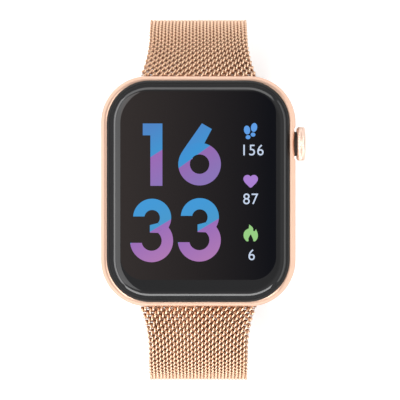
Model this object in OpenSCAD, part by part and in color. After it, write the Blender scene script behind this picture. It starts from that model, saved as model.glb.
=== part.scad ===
// Smartwatch with a woven metal loop strap. Millimetres.
// Z is the direction the display faces, Y points to 12 o'clock, X to the crown.
// The origin is the centre of the flat skin contact face of the sensor window.

/* [Case] */
// Case width, side to side
case_w = 38; // [31:0.5:46]
// Case length, 12 to 6 o'clock
case_l = 45; // [38:0.5:54]
// Plan radius of the case corners
case_r = 9.1; // [7.5:0.1:11]
// Depth of the case body between its back plane and its rim
body_t = 7.4; // [7:0.1:9]
// Visible gold rim between glass and case outline
rim_w = 1.25; // [1:0.05:2]

/* [Cover glass] */
// Height of the glass above its seat
glass_t = 2.2; // [1.9:0.1:2.8]
// Width of the curved edge of the glass
glass_edge = 2.7; // [2:0.1:3.4]

/* [Sensor window] */
// Radius of the sensor window
window_r = 11.5; // [9.5:0.1:12.2]
// How far the window stands out of the back
window_h = 1.5; // [1:0.1:2]

/* [Crown] */
// Crown radius
crown_r = 3.45; // [2.8:0.05:3.6]
// Height of the crown above the case centre
crown_y = 9.3; // [8:0.1:9.6]
// Thickness of the crown outside the case
crown_out = 1.35; // [1:0.05:2.2]
// Radius of the crown shaft
shaft_r = 1.2; // [1:0.05:1.4]
// Travel of the crown when pressed
press = 0.4; // [0.2:0.05:0.5]

/* [Strap] */
// Width of the strap
strap_w = 20; // [16:0.5:22]
// Thickness of the woven mesh
mesh_t = 1.4; // [1.2:0.05:1.7]
// Reach of the 12 o'clock side of the loop from the case centre
reach_up = 36.1; // [33:0.1:42]
// Reach of the 6 o'clock side of the loop from the case centre
reach_low = 39; // [33:0.1:46]
// Depth of the loop below the back of the watch
loop_d = 38; // [31:0.5:48]

/* [Clasp] */
// Length of the magnetic clasp plate
clasp_l = 14; // [11:0.5:16]
// Thickness of the bars of the loop ring
bar_t = 1.6; // [1.3:0.05:2]

/* [Hidden] */
$fn = 48;

e = 0.01;
run = 0.06;                    // radial clearance of a running fit
bz = window_h + 0.1;           // back plane of the case
tz = bz + body_t;              // virtual top of the case profile
rb = body_t*0.595;             // lower edge radius of the case
rt = body_t*0.297;             // upper edge radius of the case
seat_z = tz - 0.7;             // glass pocket floor
gz = seat_z + 0.2;             // underside of the glass edge
top = gz + glass_t;            // display side surface of the glass
gw = case_w - 2*rim_w;         // glass size
gl = case_l - 2*rim_w + 0.5;
gr = case_r - rim_w + 0.45;
bay_z = tz - 2.1;              // floor of the display bay
bay_w = gw - 2.7;
bay_l = gl - 2.7;
floor_z = bz + 1.1;            // inside floor
cav_w = bay_w;                 // lower cavity
cav_l = case_l - 14.2;
cav_r = 6;
hw = cav_w/2;
hl = cav_l/2;
// lug channel and hinge, in the Y and Z plane
gy = case_l/2 - 4.5;
gzc = bz + 3;
py = case_l/2 - 1.2;
pz = bz + 0.7;
bead_r = 1.5;
pin_r = 0.5;
fer_r = 1.05;
fer_w = strap_w + 2;
knk_w = 1.4;
lug_a = atan2(pz - gzc, py - gy);
lug_len = sqrt(pow(pz - gzc, 2) + pow(py - gy, 2));
// loop
zf = -loop_d;                  // centre of the flat bottom mesh
zb = zf + 1.5;                 // bottom hinges of the loop
flare_y = case_l/2 + 8.6;      // the lug flare ends here
bar2_y = 8.2;
ring_z = zf - mesh_t/2 - 0.1 - bar_t/2;
wrap_r = bar_t/2 + 0.1 + mesh_t/2;
tail_z = ring_z - wrap_r;
ty = bar2_y - 1.2;             // peel hinge
bar1_y = bar2_y + wrap_r + mesh_t/2 + 1.7;
tip_gap = 0.3;
clasp_y = -1.5;
clasp_bot = tail_z - mesh_t/2;
clasp_top = zf - mesh_t/2 - 0.1;
// crown
cz = bz + 3.8;
kx = case_w/2 + 0.3;           // inner face of the crown
recess_x = kx - press - 0.2;
fol_x = hw - 4.8;              // follower front face is at fol_x + 1.9
fol_r = shaft_r + 0.4;
sw_x = fol_x - 2.6;
// battery, boards
bat_x0 = -hw + 4.1;
bat_x1 = 4.4;
mid_y = 4.2;

// ---------- shapes ----------
module rr2(w, l, r) {
  square([w - 2*r, l], center = true);
  square([w, l - 2*r], center = true);
  for (x = [-1, 1], y = [-1, 1]) translate([x*(w/2 - r), y*(l/2 - r)]) circle(r);
}
module slab(w, l, r, z0, z1) translate([0, 0, z0]) linear_extrude(z1 - z0) rr2(w, l, r);
module rim(w, l, r) {
  for (a = [0, 180]) rotate([0, 0, a]) {
    translate([w/2 - r, l/2 - r, 0]) rotate([90, 0, 0]) linear_extrude(l - 2*r) children();
    translate([w/2 - r, l/2 - r, 0]) rotate_extrude(angle = 90) children();
  }
  for (a = [90, 270]) rotate([0, 0, a]) {
    translate([l/2 - r, w/2 - r, 0]) rotate([90, 0, 0]) linear_extrude(w - 2*r) children();
    translate([l/2 - r, w/2 - r, 0]) rotate_extrude(angle = 90) children();
  }
}
module bx(x0, x1, y0, y1, z0, z1) translate([x0, y0, z0]) cube([x1 - x0, y1 - y0, z1 - z0]);
module cyz(x, y, r, z0, z1) translate([x, y, z0]) cylinder(r = r, h = z1 - z0);
module cyx(y, z, r, x0, x1) translate([x0, y, z]) rotate([0, 90, 0]) cylinder(r = r, h = x1 - x0);
module tube_z(x, y, r0, r1, z0, z1) difference() {
  cyz(x, y, r1, z0, z1);
  cyz(x, y, r0, z0 - 1, z1 + 1);
}
module pill_y(y, w, l, z0, z1) translate([0, y, z0]) linear_extrude(z1 - z0) {
  square([w, l - w], center = true);
  for (s = [-1, 1]) translate([0, s*(l - w)/2]) circle(w/2);
}
// points of an arc in the YZ plane, angles from +Y towards +Z, from step i0 to step i1 of n
function ar(c, r, a0, a1, n, i0, i1) = [for (i = [i0:i1]) let (a = a0 + (a1 - a0)*i/n)
  [c[0] + r*cos(a), c[1] + r*sin(a)]];
module band(pts, w) rotate([90, 0, 90]) linear_extrude(w, center = true) polygon(pts);
module coil(x, y, r, w, z0, z1, n) {
  for (i = [0:n - 1]) translate([x, y, z0 + w + i*(z1 - z0 - 2*w)/(n - 1)])
    rotate_extrude() translate([r, 0]) circle(w);
  translate([x + r, y, z0 + w]) cylinder(r = w*0.6, h = z1 - z0 - 2*w);
}
module screw(x, y, z, hr, hh, r, len) {
  difference() {
    cyz(x, y, hr, z, z + hh);
    translate([x, y, z + hh/2]) bx(-hr*0.6, hr*0.6, -0.1, 0.1, 0, hh);
    translate([x, y, z + hh/2]) bx(-0.1, 0.1, -hr*0.6, hr*0.6, 0, hh);
  }
  cyz(x, y, r, z - len, z + e);
}
module six() mirror([0, 1, 0]) children();

// ---------- case ----------
module case_outer() {
  rim(case_w, case_l, case_r) difference() {
    translate([case_r - 6, bz]) square([6, tz - bz]);
    difference() {
      translate([case_r - rb, bz - 1]) square([rb + 1, rb + 1]);
      translate([case_r - rb, bz + rb]) circle(rb);
    }
    difference() {
      translate([case_r - rt, tz - rt]) square([rt + 1, rt + 1]);
      translate([case_r - rt, tz - rt]) circle(rt);
    }
  }
  slab(case_w - 11, case_l - 11, case_r - 5.5, bz, tz);
}
module lug_cut() {
  cyx(gy, gzc, bead_r + 0.1, -case_w, case_w);
  translate([0, gy, gzc]) rotate([lug_a, 0, 0]) bx(-case_w, case_w, 0, lug_len + 1.5, -0.8, 0.8);
  cyx(py, pz, fer_r + 0.3, -case_w, case_w);
  pill_y(gy, 1.6, 2.7, bz - 2, bz + 1);
  pill_y(gy, 2.1, 3.2, bz + 0.55, gzc);
}
frame_pts = [for (x = [-1, 1], y = [-1, 1]) [x*(hw - 1.15), y*(hl - 1.15)]];
board_pts = [[hw - 1.9, -hl + 2.9], [6.5, -hl + 1.2], [hw - 1.5, 2.3]];
brk_pts = [[hw - 4.1, crown_y - 3.1], [hw - 4.1, crown_y + 3.0]];
module case_body() color([0.93, 0.78, 0.68]) {
  difference() {
    case_outer();
    slab(gw + 0.12, gl + 0.12, gr + 0.06, seat_z, tz + 1);
    slab(bay_w, bay_l, gr - 1.3, bay_z, tz + 1);
    slab(cav_w, cav_l, cav_r, floor_z, bay_z + 1);
    cyz(0, 0, 13, bz - 1, floor_z + 1);
    cyz(0, 0, 15.1, bz - 1, bz + 0.5);
    lug_cut();
    six() lug_cut();
    cyx(crown_y, cz, crown_r + 0.35, recess_x, case_w);
    cyx(crown_y, cz, shaft_r + 0.55, 0, case_w);
    cyx(crown_y, cz, shaft_r + 1.05, hw - 1.5, hw);
    for (p = frame_pts) cyz(p[0], p[1], 0.45, bay_z - 2.2, bay_z + 1);
    for (p = brk_pts) cyz(p[0], p[1], 0.45, floor_z - 0.7, floor_z + 1);
    for (y = [-6, -0.5]) {
      bx(-case_w, -hw + 1, y, y + 3.4, cz - 0.4, cz + 0.4);
      for (s = [0, 3.4]) cyx(y + s, cz, 0.4, -case_w, -hw + 1);
    }
  }
  for (p = board_pts) difference() {
    cyz(p[0], p[1], 1.1, floor_z - 0.3, floor_z + 1.5);
    cyz(p[0], p[1], 0.45, floor_z + 0.3, floor_z + 2);
  }
}

// ---------- display stack ----------
module cover_glass() color([0.1, 0.1, 0.12]) {
  drop = glass_t - 0.25;
  rr = (glass_edge*glass_edge + drop*drop)/(2*drop);
  rim(gw, gl, gr) difference() {
    intersection() {
      translate([gr - 3.6, gz]) square([3.6, glass_t]);
      union() {
        translate([gr - glass_edge, top - rr]) circle(rr);
        translate([gr - 3.6, gz]) square([3.6 - glass_edge, glass_t]);
      }
    }
    translate([gr - 4, gz - 1]) square([2.15, 2.0]);
  }
  difference() {
    slab(gw - 6, gl - 6, gr - 3, gz, top);
    slab(gw - 3.7, gl - 3.7, gr - 1.85, gz - 1, gz + 1.0);
  }
}
module glass_gasket() color([0.1, 0.1, 0.1]) difference() {
  slab(gw - 0.5, gl - 0.5, gr - 0.25, seat_z, gz);
  slab(bay_w + 0.2, bay_l + 0.2, gr - 1.2, seat_z - 1, gz + 1);
}
module display_panel() color([0.05, 0.05, 0.07]) slab(gw - 4, gl - 4, gr - 2, gz + 0.3, gz + 0.97);
module display_plate() color([0.6, 0.6, 0.62]) slab(gw - 4.6, gl - 4.6, gr - 2.3, gz + 0.05, gz + 0.3);
module display_flex() color([0.55, 0.32, 0.1]) {
  fy = -hl + 2.7;
  bx(6, hw - 4, fy, fy + 5, gz - 0.1, gz + 0.05);
  bx(6, hw - 4, fy, fy + 0.15, floor_z + 2.2, gz);
  bx(6, hw - 4, fy, fy + 1.6, floor_z + 2.2, floor_z + 2.35);
}
module mid_frame() color([0.66, 0.67, 0.7]) difference() {
  slab(bay_w - 0.4, bay_l - 0.4, gr - 1.5, bay_z, bay_z + 0.4);
  bx(5.4, hw - 3.4, -hl + 2.2, -hl + 4.0, bay_z - 1, bay_z + 1);
  bx(sw_x - 2, hw + 1, crown_y - 3, crown_y + 3, bay_z - 1, bay_z + 1);
  bx(-hw + 5, 2, -hl + 5, -1, bay_z - 1, bay_z + 1);
  for (p = frame_pts) cyz(p[0], p[1], 0.5, bay_z - 1, bay_z + 1);
}
module frame_screws() color([0.5, 0.5, 0.52])
  for (p = frame_pts) screw(p[0], p[1], bay_z + 0.4, 0.8, 0.4, 0.43, 2.4);

// ---------- power and boards ----------
module battery() color([0.16, 0.16, 0.18])
  bx(bat_x0, bat_x1, -hl + 0.4, mid_y, floor_z + 0.2, bay_z - 0.5);
module main_board() color([0.08, 0.24, 0.16]) difference() {
  intersection() {
    slab(cav_w - 0.4, cav_l - 0.4, cav_r - 0.2, floor_z + 1.5, floor_z + 2.2);
    union() {
      bx(5.2, hw - 0.5, -hl + 3.6, 3.6, floor_z + 1.5, floor_z + 2.2);
      bx(5.2, hw - 3, -hl + 0.4, -hl + 4, floor_z + 1.5, floor_z + 2.2);
      bx(hw - 3.4, hw - 0.8, -hl + 1.7, -hl + 4, floor_z + 1.5, floor_z + 2.2);
    }
  }
  for (p = board_pts) cyz(p[0], p[1], 0.5, floor_z, floor_z + 3);
}
module board_chips() color([0.12, 0.12, 0.13]) {
  bx(8.2, 12.2, -5.6, -1.6, floor_z + 2.2, floor_z + 2.9);
  bx(8.2, 11.2, -0.9, 1.2, floor_z + 2.2, floor_z + 2.8);
  bx(8.4, 12.0, -9, -6.4, floor_z + 2.2, floor_z + 2.8);
  bx(hw - 2.6, hw - 1.2, -4, -1, floor_z + 2.2, floor_z + 2.9);
}
module shield_can() color([0.75, 0.75, 0.78]) difference() {
  bx(7.4, 13, -9.6, 1.8, floor_z + 2.2, floor_z + 3.3);
  bx(7.6, 12.8, -9.4, 1.6, floor_z + 2, floor_z + 3.1);
}
module board_screws() color([0.5, 0.5, 0.52])
  for (p = board_pts) screw(p[0], p[1], floor_z + 2.2, 0.8, 0.4, 0.43, 1.8);
module speaker() color([0.2, 0.2, 0.22]) difference() {
  bx(-hw + 0.2, bat_x0 - 0.3, -8, 4, floor_z + 0.3, floor_z + 3.6);
  bx(-hw, -hw + 0.8, -6.4, 3.2, cz - 0.7, cz + 0.7);
}

// ---------- haptic motor ----------
mx0 = -hw + 2.8;
mx1 = -0.8;
my0 = mid_y + 1;
my1 = hl - 1.2;
mz0 = floor_z + 0.4;
mz1 = bay_z - 0.95;
mcx = (mx0 + mx1)/2;
mcy = (my0 + my1)/2;
ring_r = 1.55;
mass_l = mx1 - mx0 - 0.6 - 4*ring_r;
module motor_case() color([0.7, 0.7, 0.72]) difference() {
  bx(mx0, mx1, my0, my1, mz0, mz1);
  bx(mx0 + 0.3, mx1 - 0.3, my0 + 0.3, my1 - 0.3, mz0 + 0.3, mz1 + 1);
}
module motor_cover() color([0.75, 0.75, 0.77]) bx(mx0, mx1, my0, my1, mz1, mz1 + 0.25);
module motor_coil() color([0.7, 0.38, 0.18]) tube_z(mcx, mcy, 1.5, 2.8, mz0 + 0.3, mz0 + 0.55);
module motor_mass() color([0.4, 0.4, 0.43])
  bx(mcx - mass_l/2, mcx + mass_l/2, my0 + 0.7, my1 - 0.7, mz0 + 0.85, mz1 - 0.3);
module motor_springs() color([0.8, 0.8, 0.82])
  for (s = [-1, 1], t = [-1, 1])
    tube_z(mcx + s*(mass_l/2 + ring_r), mcy + t*2, ring_r - 0.12, ring_r, mz0 + 1, mz1 - 0.5);

// ---------- rear sensor module ----------
module rear_cover() color([0.06, 0.06, 0.07]) {
  tube_z(0, 0, 10.1, 15, bz - 0.1, bz + 0.35);
  tube_z(0, 0, 11.9, 12.9, bz + 0.3, bz + 1.2);
}
module rear_gasket() color([0.15, 0.15, 0.15]) tube_z(0, 0, 13.2, 14.8, bz + 0.35, bz + 0.5);
module sensor_window() color([0.1, 0.1, 0.12]) {
  er = window_h*0.9;
  rotate_extrude() difference() {
    square([window_r, window_h]);
    difference() {
      translate([window_r - er, -1]) square([er + 1, er + 1]);
      translate([window_r - er, er]) circle(er);
    }
  }
  cyz(0, 0, 10, window_h - e, window_h + 0.4);
}
module sensor_board() color([0.08, 0.24, 0.16]) cyz(0, 0, 6.9, bz + 0.75, bz + 1.15);
module sensor_leds() color([0.7, 0.9, 0.7])
  for (a = [0:90:270]) rotate([0, 0, a]) bx(0.35, 1.25, 0.35, 1.25, bz + 0.4, bz + 0.75);
module photodiodes() color([0.25, 0.25, 0.3])
  for (a = [45:90:315]) rotate([0, 0, a]) bx(3.7, 5.3, -0.8, 0.8, bz + 0.4, bz + 0.75);
module light_baffle() color([0.05, 0.05, 0.05]) {
  tube_z(0, 0, 2.3, 2.8, bz + 0.35, bz + 0.75);
  tube_z(0, 0, 6.2, 6.8, bz + 0.35, bz + 0.75);
  for (a = [0:90:270]) rotate([0, 0, a]) bx(2.6, 6.4, -0.2, 0.2, bz + 0.35, bz + 0.75);
}
module charging_coil() color([0.7, 0.38, 0.18]) tube_z(0, 0, 7.4, 11.5, bz + 0.4, bz + 0.9);
module ferrite_sheet() color([0.25, 0.25, 0.25]) tube_z(0, 0, 7.2, 11.7, bz + 0.9, bz + 1.15);

// ---------- crown ----------
module crown_knob() color([0.93, 0.78, 0.68]) difference() {
  rotate([0, 90, 0]) translate([-cz, crown_y, kx]) rotate_extrude() difference() {
    square([crown_r, crown_out + 0.25]);
    difference() {
      translate([crown_r - 0.5, crown_out - 0.25]) square([1, 1]);
      translate([crown_r - 0.5, crown_out - 0.25]) circle(0.5);
    }
  }
  cyx(crown_y, cz, crown_r - 0.75, kx + crown_out + 0.05, kx + 5);
  cyx(crown_y, cz, shaft_r - 0.3, kx - 1, kx + crown_out);
}
module crown_cap() color([0.93, 0.78, 0.68])
  cyx(crown_y, cz, crown_r - 0.75, kx + crown_out + 0.05, kx + crown_out + 0.35);
groove_x = [hw + 1.0, hw + 1.7];
module crown_shaft() color([0.8, 0.8, 0.82]) difference() {
  union() {
    cyx(crown_y, cz, shaft_r, fol_x + 2, kx);
    cyx(crown_y, cz, shaft_r - 0.3, kx - e, kx + crown_out);
    cyx(crown_y, cz, shaft_r - 0.4, fol_x + 0.6, fol_x + 2 + e);
  }
  for (x = groove_x) difference() {
    cyx(crown_y, cz, shaft_r + 1, x - 0.2, x + 0.2);
    cyx(crown_y, cz, shaft_r - 0.3, x - 1, x + 1);
  }
  difference() {
    cyx(crown_y, cz, shaft_r + 1, hw - 1.15, hw - 0.85);
    cyx(crown_y, cz, shaft_r - 0.3, hw - 2, hw);
  }
}
module crown_seals() color([0.1, 0.1, 0.1]) for (x = groove_x)
  translate([x, crown_y, cz]) rotate([0, 90, 0]) rotate_extrude()
    translate([shaft_r - 0.13, 0]) circle(0.17);
module crown_clip() color([0.6, 0.6, 0.62]) difference() {
  cyx(crown_y, cz, shaft_r + 0.6, hw - 1.15, hw - 0.85);
  cyx(crown_y, cz, shaft_r - 0.3, hw - 2, hw);
  bx(hw - 2, hw, crown_y - 0.7, crown_y + 0.7, cz - 3, cz - 0.5);
}
module crown_tube() color([0.82, 0.7, 0.5]) difference() {
  union() {
    cyx(crown_y, cz, shaft_r + 0.55, hw - 0.4, recess_x);
    cyx(crown_y, cz, shaft_r + 0.95, hw - 0.7, hw);
  }
  cyx(crown_y, cz, shaft_r + run, hw - 2, case_w);
}
module crown_follower() color([0.85, 0.85, 0.83]) difference() {
  union() {
    cyx(crown_y, cz, fol_r, fol_x, fol_x + 1.9);
    cyx(crown_y, cz, 0.5, fol_x - 1, fol_x + e);
  }
  cyx(crown_y, cz, shaft_r - 0.4 + run, fol_x + 0.5, fol_x + 3);
}
module crown_bracket() color([0.7, 0.7, 0.72]) difference() {
  union() {
    bx(sw_x - 0.6, hw - 3.2, crown_y - 3.9, crown_y + 3.8, floor_z, floor_z + 0.6);
    bx(fol_x + 0.3, fol_x + 1.7, crown_y - 2.1, crown_y + 2.1, floor_z, cz + 2.1);
    bx(sw_x - 0.6, sw_x, crown_y - 1.8, crown_y + 1.8, floor_z, cz + 1.8);
  }
  cyx(crown_y, cz, fol_r + run, fol_x - 1, fol_x + 3);
  cyz(0, 0, 13.05, floor_z - 1, floor_z + 0.2);
  for (p = brk_pts) cyz(p[0], p[1], 0.5, floor_z - 1, floor_z + 2);
}
module bracket_screws() color([0.5, 0.5, 0.52])
  for (p = brk_pts) screw(p[0], p[1], floor_z + 0.6, 0.8, 0.4, 0.43, 1.2);
module crown_switch() color([0.15, 0.15, 0.16])
  bx(sw_x, sw_x + 1.1, crown_y - 1.5, crown_y + 1.5, cz - 1.5, cz + 1.5);
module switch_dome() color([0.85, 0.8, 0.6]) {
  cyx(crown_y, cz, 1.2, sw_x + 1.1, sw_x + 1.25);
  cyx(crown_y, cz, 0.6, sw_x + 1.2, sw_x + 1.55);
}
module crown_encoder() color([0.1, 0.2, 0.15])
  bx(hw - 2.55, hw - 1.75, crown_y - 1, crown_y + 1, floor_z, cz - shaft_r - 0.3);

// ---------- strap lugs ----------
module adapter() color([0.93, 0.78, 0.68]) {
  kx0 = fer_w/2 + 0.15;
  difference() {
    union() {
      cyx(gy, gzc, bead_r, -case_w/2 + 2.8, case_w/2 - 2.8);
      translate([0, gy, gzc]) rotate([lug_a, 0, 0])
        bx(-kx0 - knk_w, kx0 + knk_w, 0, lug_len, -0.65, 0.65);
      for (s = [-1, 1]) cyx(py, pz, 1, s > 0 ? kx0 : -kx0 - knk_w, s > 0 ? kx0 + knk_w : -kx0);
    }
    cyx(py, pz, fer_r + 0.2, -kx0, kx0);
    cyx(py, pz, pin_r, -case_w, case_w);
    cyz(0, gy, 0.85, gzc - 3, gzc + 1.0);
  }
}
module lug_pin() color([0.8, 0.8, 0.82])
  cyx(py, pz, pin_r, -fer_w/2 - 0.15 - knk_w, fer_w/2 + 0.15 + knk_w);
module latch() color([0.8, 0.8, 0.82]) {
  cyz(0, gy, 0.79, bz + 1.02, gzc - 0.4);
}
module button() color([0.93, 0.78, 0.68]) {
  pill_y(gy, 1.5, 2.6, bz + 0.15, bz + 0.7);
  pill_y(gy, 2.0, 2.7, bz + 0.6, bz + 0.78);
  cyz(0, gy, 0.7, bz + 0.7, bz + 0.94);
}
module ferrule() color([0.93, 0.78, 0.68]) difference() {
  cyx(py, pz, fer_r, -fer_w/2, fer_w/2);
  cyx(py, pz, pin_r + 0.05, -case_w, case_w);
}
module upper_adapter() adapter();
module lower_adapter() six() adapter();
module upper_lug_pin() lug_pin();
module lower_lug_pin() six() lug_pin();
module upper_latch() latch();
module lower_latch() six() latch();
module latch_springs() color([0.8, 0.8, 0.82])
  for (s = [-1, 1]) coil(0, s*gy, 0.55, 0.12, gzc - 0.4, gzc + 1.0, 4);
module upper_button() button();
module lower_button() six() button();
module upper_ferrule() ferrule();
module lower_ferrule() six() ferrule();

// ---------- mesh loop ----------
// side of the loop: lug hinge -> widest point (reach, zh) -> bottom hinge
function dyo(reach) = reach - mesh_t/2 - py;
module side_band(reach, zh) {
  dy = dyo(reach);
  h = mesh_t/2;
  r1 = (dy*dy + pow(pz - zh, 2))/(2*dy);
  r2 = (dy*dy + pow(zh - zb, 2))/(2*dy);
  c1 = [reach - h - r1, zh];
  c2 = [reach - h - r2, zh];
  au = atan2(pz - zh, py - c1[0]);
  al = atan2(zb - zh, py - c2[0]);
  pts = concat(ar(c1, r1 + h, au, 0, 12, 0, 12), ar(c2, r2 + h, 0, al, 12, 1, 12),
    ar([py, zb], h, al, al - 180, 8, 1, 7),
    ar(c2, r2 - h, al, 0, 12, 0, 12), ar(c1, r1 - h, 0, au, 12, 1, 12));
  difference() {
    band(pts, fer_w + 2.4);
    cyx(py, pz, fer_r, -fer_w/2 - 0.05, fer_w/2 + 0.05);
    for (s = [-1, 1]) {
      cyx(py, pz, fer_r + 0.35, s > 0 ? fer_w/2 : -case_w, s > 0 ? case_w : -fer_w/2);
      translate([0, 0, zh + 3]) linear_extrude(30)
        polygon([[s*case_w, py - 3], [s*flare_x(py), py - 3], [s*flare_x(py), py],
          [s*flare_x(py + 3), py + 3], [s*flare_x(py + 6.4), py + 6.4],
          [s*strap_w/2, flare_y], [s*strap_w/2, reach + 2], [s*case_w, reach + 2]]);
      translate([s*(strap_w/2 + case_w/2), 0, zh + 3]) rotate([180, 0, 0]) translate([-case_w/2, -reach - 3, 0])
        cube([case_w, reach + 3, loop_d]);
    }
  }
}
// half width of the strap where it flares out to the lug
function flare_x(y) = strap_w/2 + 22 - sqrt(22*22 - pow(flare_y - y, 2));
zh_up = -20;
zh_low = -15;
module upper_mesh() color([0.9, 0.75, 0.62]) side_band(reach_up, zh_up);
module lower_mesh() color([0.9, 0.75, 0.62]) six() side_band(reach_low, zh_low);

// end of the loop below a bottom hinge: curve down to level zl
function ab(reach, zh) = atan2(zb - zh, py - (reach - mesh_t/2)
  + (pow(dyo(reach), 2) + pow(zh - zb, 2))/(2*dyo(reach)));
function r3(reach, zh, zl) = (zb - zl)/(1 + sin(ab(reach, zh)));
function c3(reach, zh, zl) = py - r3(reach, zh, zl)*cos(ab(reach, zh));
module loop_ring() color([0.93, 0.78, 0.68]) {
  hx = strap_w/2 + 0.4;
  cyx(bar2_y, ring_z, bar_t/2, -hx - 0.1, hx + 0.1);
  for (s = [-1, 1]) translate([s*(hx + 0.8), 0, 0]) {
    bx(-0.8, 0.8, bar2_y, bar1_y, ring_z - bar_t/2, ring_z + bar_t/2);
    for (yy = [bar2_y, bar1_y]) translate([-0.8, 0, 0]) cyx(yy, ring_z, bar_t/2, 0, 1.6);
  }
  bx(-hx - 0.1, hx + 0.1, bar1_y - bar_t/2, bar1_y + bar_t/2, ring_z - bar_t/2, ring_z + bar_t/2);
}
module ring_mesh() color([0.9, 0.75, 0.62]) {
  // one arc from the bottom hinge to the outer face of the ring's bar; r is signed
  h = mesh_t/2;
  a = ab(reach_up, zh_up);
  dy = bar1_y + bar_t/2 - py;
  dz = ring_z - zb;
  r = -(dy*dy + dz*dz)/(2*(dy*cos(a) + dz*sin(a)));
  c = [py - r*cos(a), zb - r*sin(a)];
  a1 = atan2((ring_z - c[1])/r, (py + dy - c[0])/r);
  b1 = a1 + (a1 - a)*0.1;
  difference() {
    band(concat(ar(c, r + h, a, b1, 10, 0, 10), ar(c, r - h, b1, a, 10, 0, 10)), strap_w);
    cyx(py, zb, h + tip_gap, -case_w, case_w);
    bx(-case_w, case_w, -50, bar1_y + bar_t/2, -80, 0);
  }
}
module base_mesh() color([0.9, 0.75, 0.62]) six() {
  h = mesh_t/2;
  r = r3(reach_low, zh_low, zf);
  c = [c3(reach_low, zh_low, zf), zf + r];
  a = ab(reach_low, zh_low);
  bar = [-bar2_y, ring_z];
  difference() {
    band(concat(ar(c, r + h, a, -90, 10, 0, 10), ar(bar, wrap_r - h, 90, 270, 12, 0, 12),
      ar([-ty, tail_z], h, 90, -90, 8, 0, 8), ar(bar, wrap_r + h, 270, 90, 12, 0, 12),
      ar(c, r - h, -90, a, 10, 0, 10)), strap_w);
    cyx(py, zb, h + tip_gap, -case_w, case_w);
  }
}
module tail_mesh() color([0.9, 0.75, 0.62]) difference() {
  bx(-strap_w/2, strap_w/2, clasp_y, ty, tail_z - mesh_t/2, tail_z + mesh_t/2);
  cyx(ty, tail_z, mesh_t/2 + tip_gap + 0.1, -case_w, case_w);
}
module clasp_shell() color([0.93, 0.78, 0.68]) translate([0, clasp_y - clasp_l/2, 0]) difference() {
  slab(strap_w + 0.8, clasp_l, 1.8, clasp_bot, clasp_top);
  slab(strap_w - 1, clasp_l - 1.8, 1, clasp_bot + 0.7, clasp_top + 1);
}
module clasp_cover() color([0.8, 0.8, 0.82]) translate([0, clasp_y - clasp_l/2, 0])
  slab(strap_w - 1.04, clasp_l - 1.84, 0.98, clasp_top - 0.4, clasp_top);
module clasp_magnets() color([0.45, 0.45, 0.47])
  for (i = [-1:1]) translate([0, clasp_y - clasp_l/2 + i*(clasp_l - 2.6)/3, 0])
    bx(-strap_w/2 + 1, strap_w/2 - 1, -(clasp_l - 3.8)/6, (clasp_l - 3.8)/6,
       clasp_bot + 0.7, clasp_top - 0.4);

// ---------- draw ----------
case_body();
cover_glass();
glass_gasket();
display_panel();
display_plate();
display_flex();
mid_frame();
frame_screws();
battery();
main_board();
board_chips();
shield_can();
board_screws();
speaker();
motor_case();
motor_cover();
motor_coil();
motor_mass();
motor_springs();
rear_cover();
rear_gasket();
sensor_window();
sensor_board();
sensor_leds();
photodiodes();
light_baffle();
charging_coil();
ferrite_sheet();
crown_knob();
crown_cap();
crown_shaft();
crown_tube();
crown_seals();
crown_clip();
crown_follower();
crown_bracket();
bracket_screws();
crown_switch();
switch_dome();
crown_encoder();
upper_adapter();
lower_adapter();
upper_lug_pin();
lower_lug_pin();
upper_latch();
lower_latch();
latch_springs();
upper_button();
lower_button();
upper_ferrule();
lower_ferrule();
upper_mesh();
lower_mesh();
base_mesh();
ring_mesh();
loop_ring();
tail_mesh();
clasp_shell();
clasp_cover();
clasp_magnets();
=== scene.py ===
"""Smartwatch with a woven metal loop strap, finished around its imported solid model."""
import math

import bmesh
import bpy
import numpy as np
from mathutils import Matrix, Vector


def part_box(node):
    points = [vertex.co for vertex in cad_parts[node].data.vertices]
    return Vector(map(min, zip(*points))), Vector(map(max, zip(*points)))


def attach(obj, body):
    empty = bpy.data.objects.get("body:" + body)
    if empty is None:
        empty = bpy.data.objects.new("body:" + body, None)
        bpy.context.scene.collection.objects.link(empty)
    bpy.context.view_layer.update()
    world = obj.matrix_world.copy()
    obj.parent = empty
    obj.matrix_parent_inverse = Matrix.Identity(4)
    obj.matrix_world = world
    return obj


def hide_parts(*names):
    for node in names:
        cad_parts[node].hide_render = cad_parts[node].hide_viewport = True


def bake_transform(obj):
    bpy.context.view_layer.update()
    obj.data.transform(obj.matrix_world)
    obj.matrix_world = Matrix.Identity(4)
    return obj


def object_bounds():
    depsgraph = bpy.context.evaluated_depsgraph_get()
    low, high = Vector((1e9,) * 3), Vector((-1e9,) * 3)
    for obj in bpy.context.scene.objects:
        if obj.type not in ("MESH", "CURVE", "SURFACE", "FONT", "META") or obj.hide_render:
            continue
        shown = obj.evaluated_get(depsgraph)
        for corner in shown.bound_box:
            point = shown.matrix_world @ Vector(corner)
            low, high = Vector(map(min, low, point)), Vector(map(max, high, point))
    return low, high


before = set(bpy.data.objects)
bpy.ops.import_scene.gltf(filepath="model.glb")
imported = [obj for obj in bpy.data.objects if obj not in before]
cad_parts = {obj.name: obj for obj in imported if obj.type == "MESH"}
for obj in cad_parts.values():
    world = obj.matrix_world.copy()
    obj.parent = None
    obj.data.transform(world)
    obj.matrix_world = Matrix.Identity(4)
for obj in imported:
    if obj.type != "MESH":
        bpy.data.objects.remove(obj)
CAD_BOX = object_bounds()

bl_info = {
    "name": "Woven Loop Smartwatch",
    "version": (1, 0, 0),
    "blender": (4, 5, 0),
    "location": "View3D > Sidebar > Watch",
    "description": "Builds the woven strap, crown, watch face and finishes of a smartwatch",
    "category": "Object",
}

MM = 0.001


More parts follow.
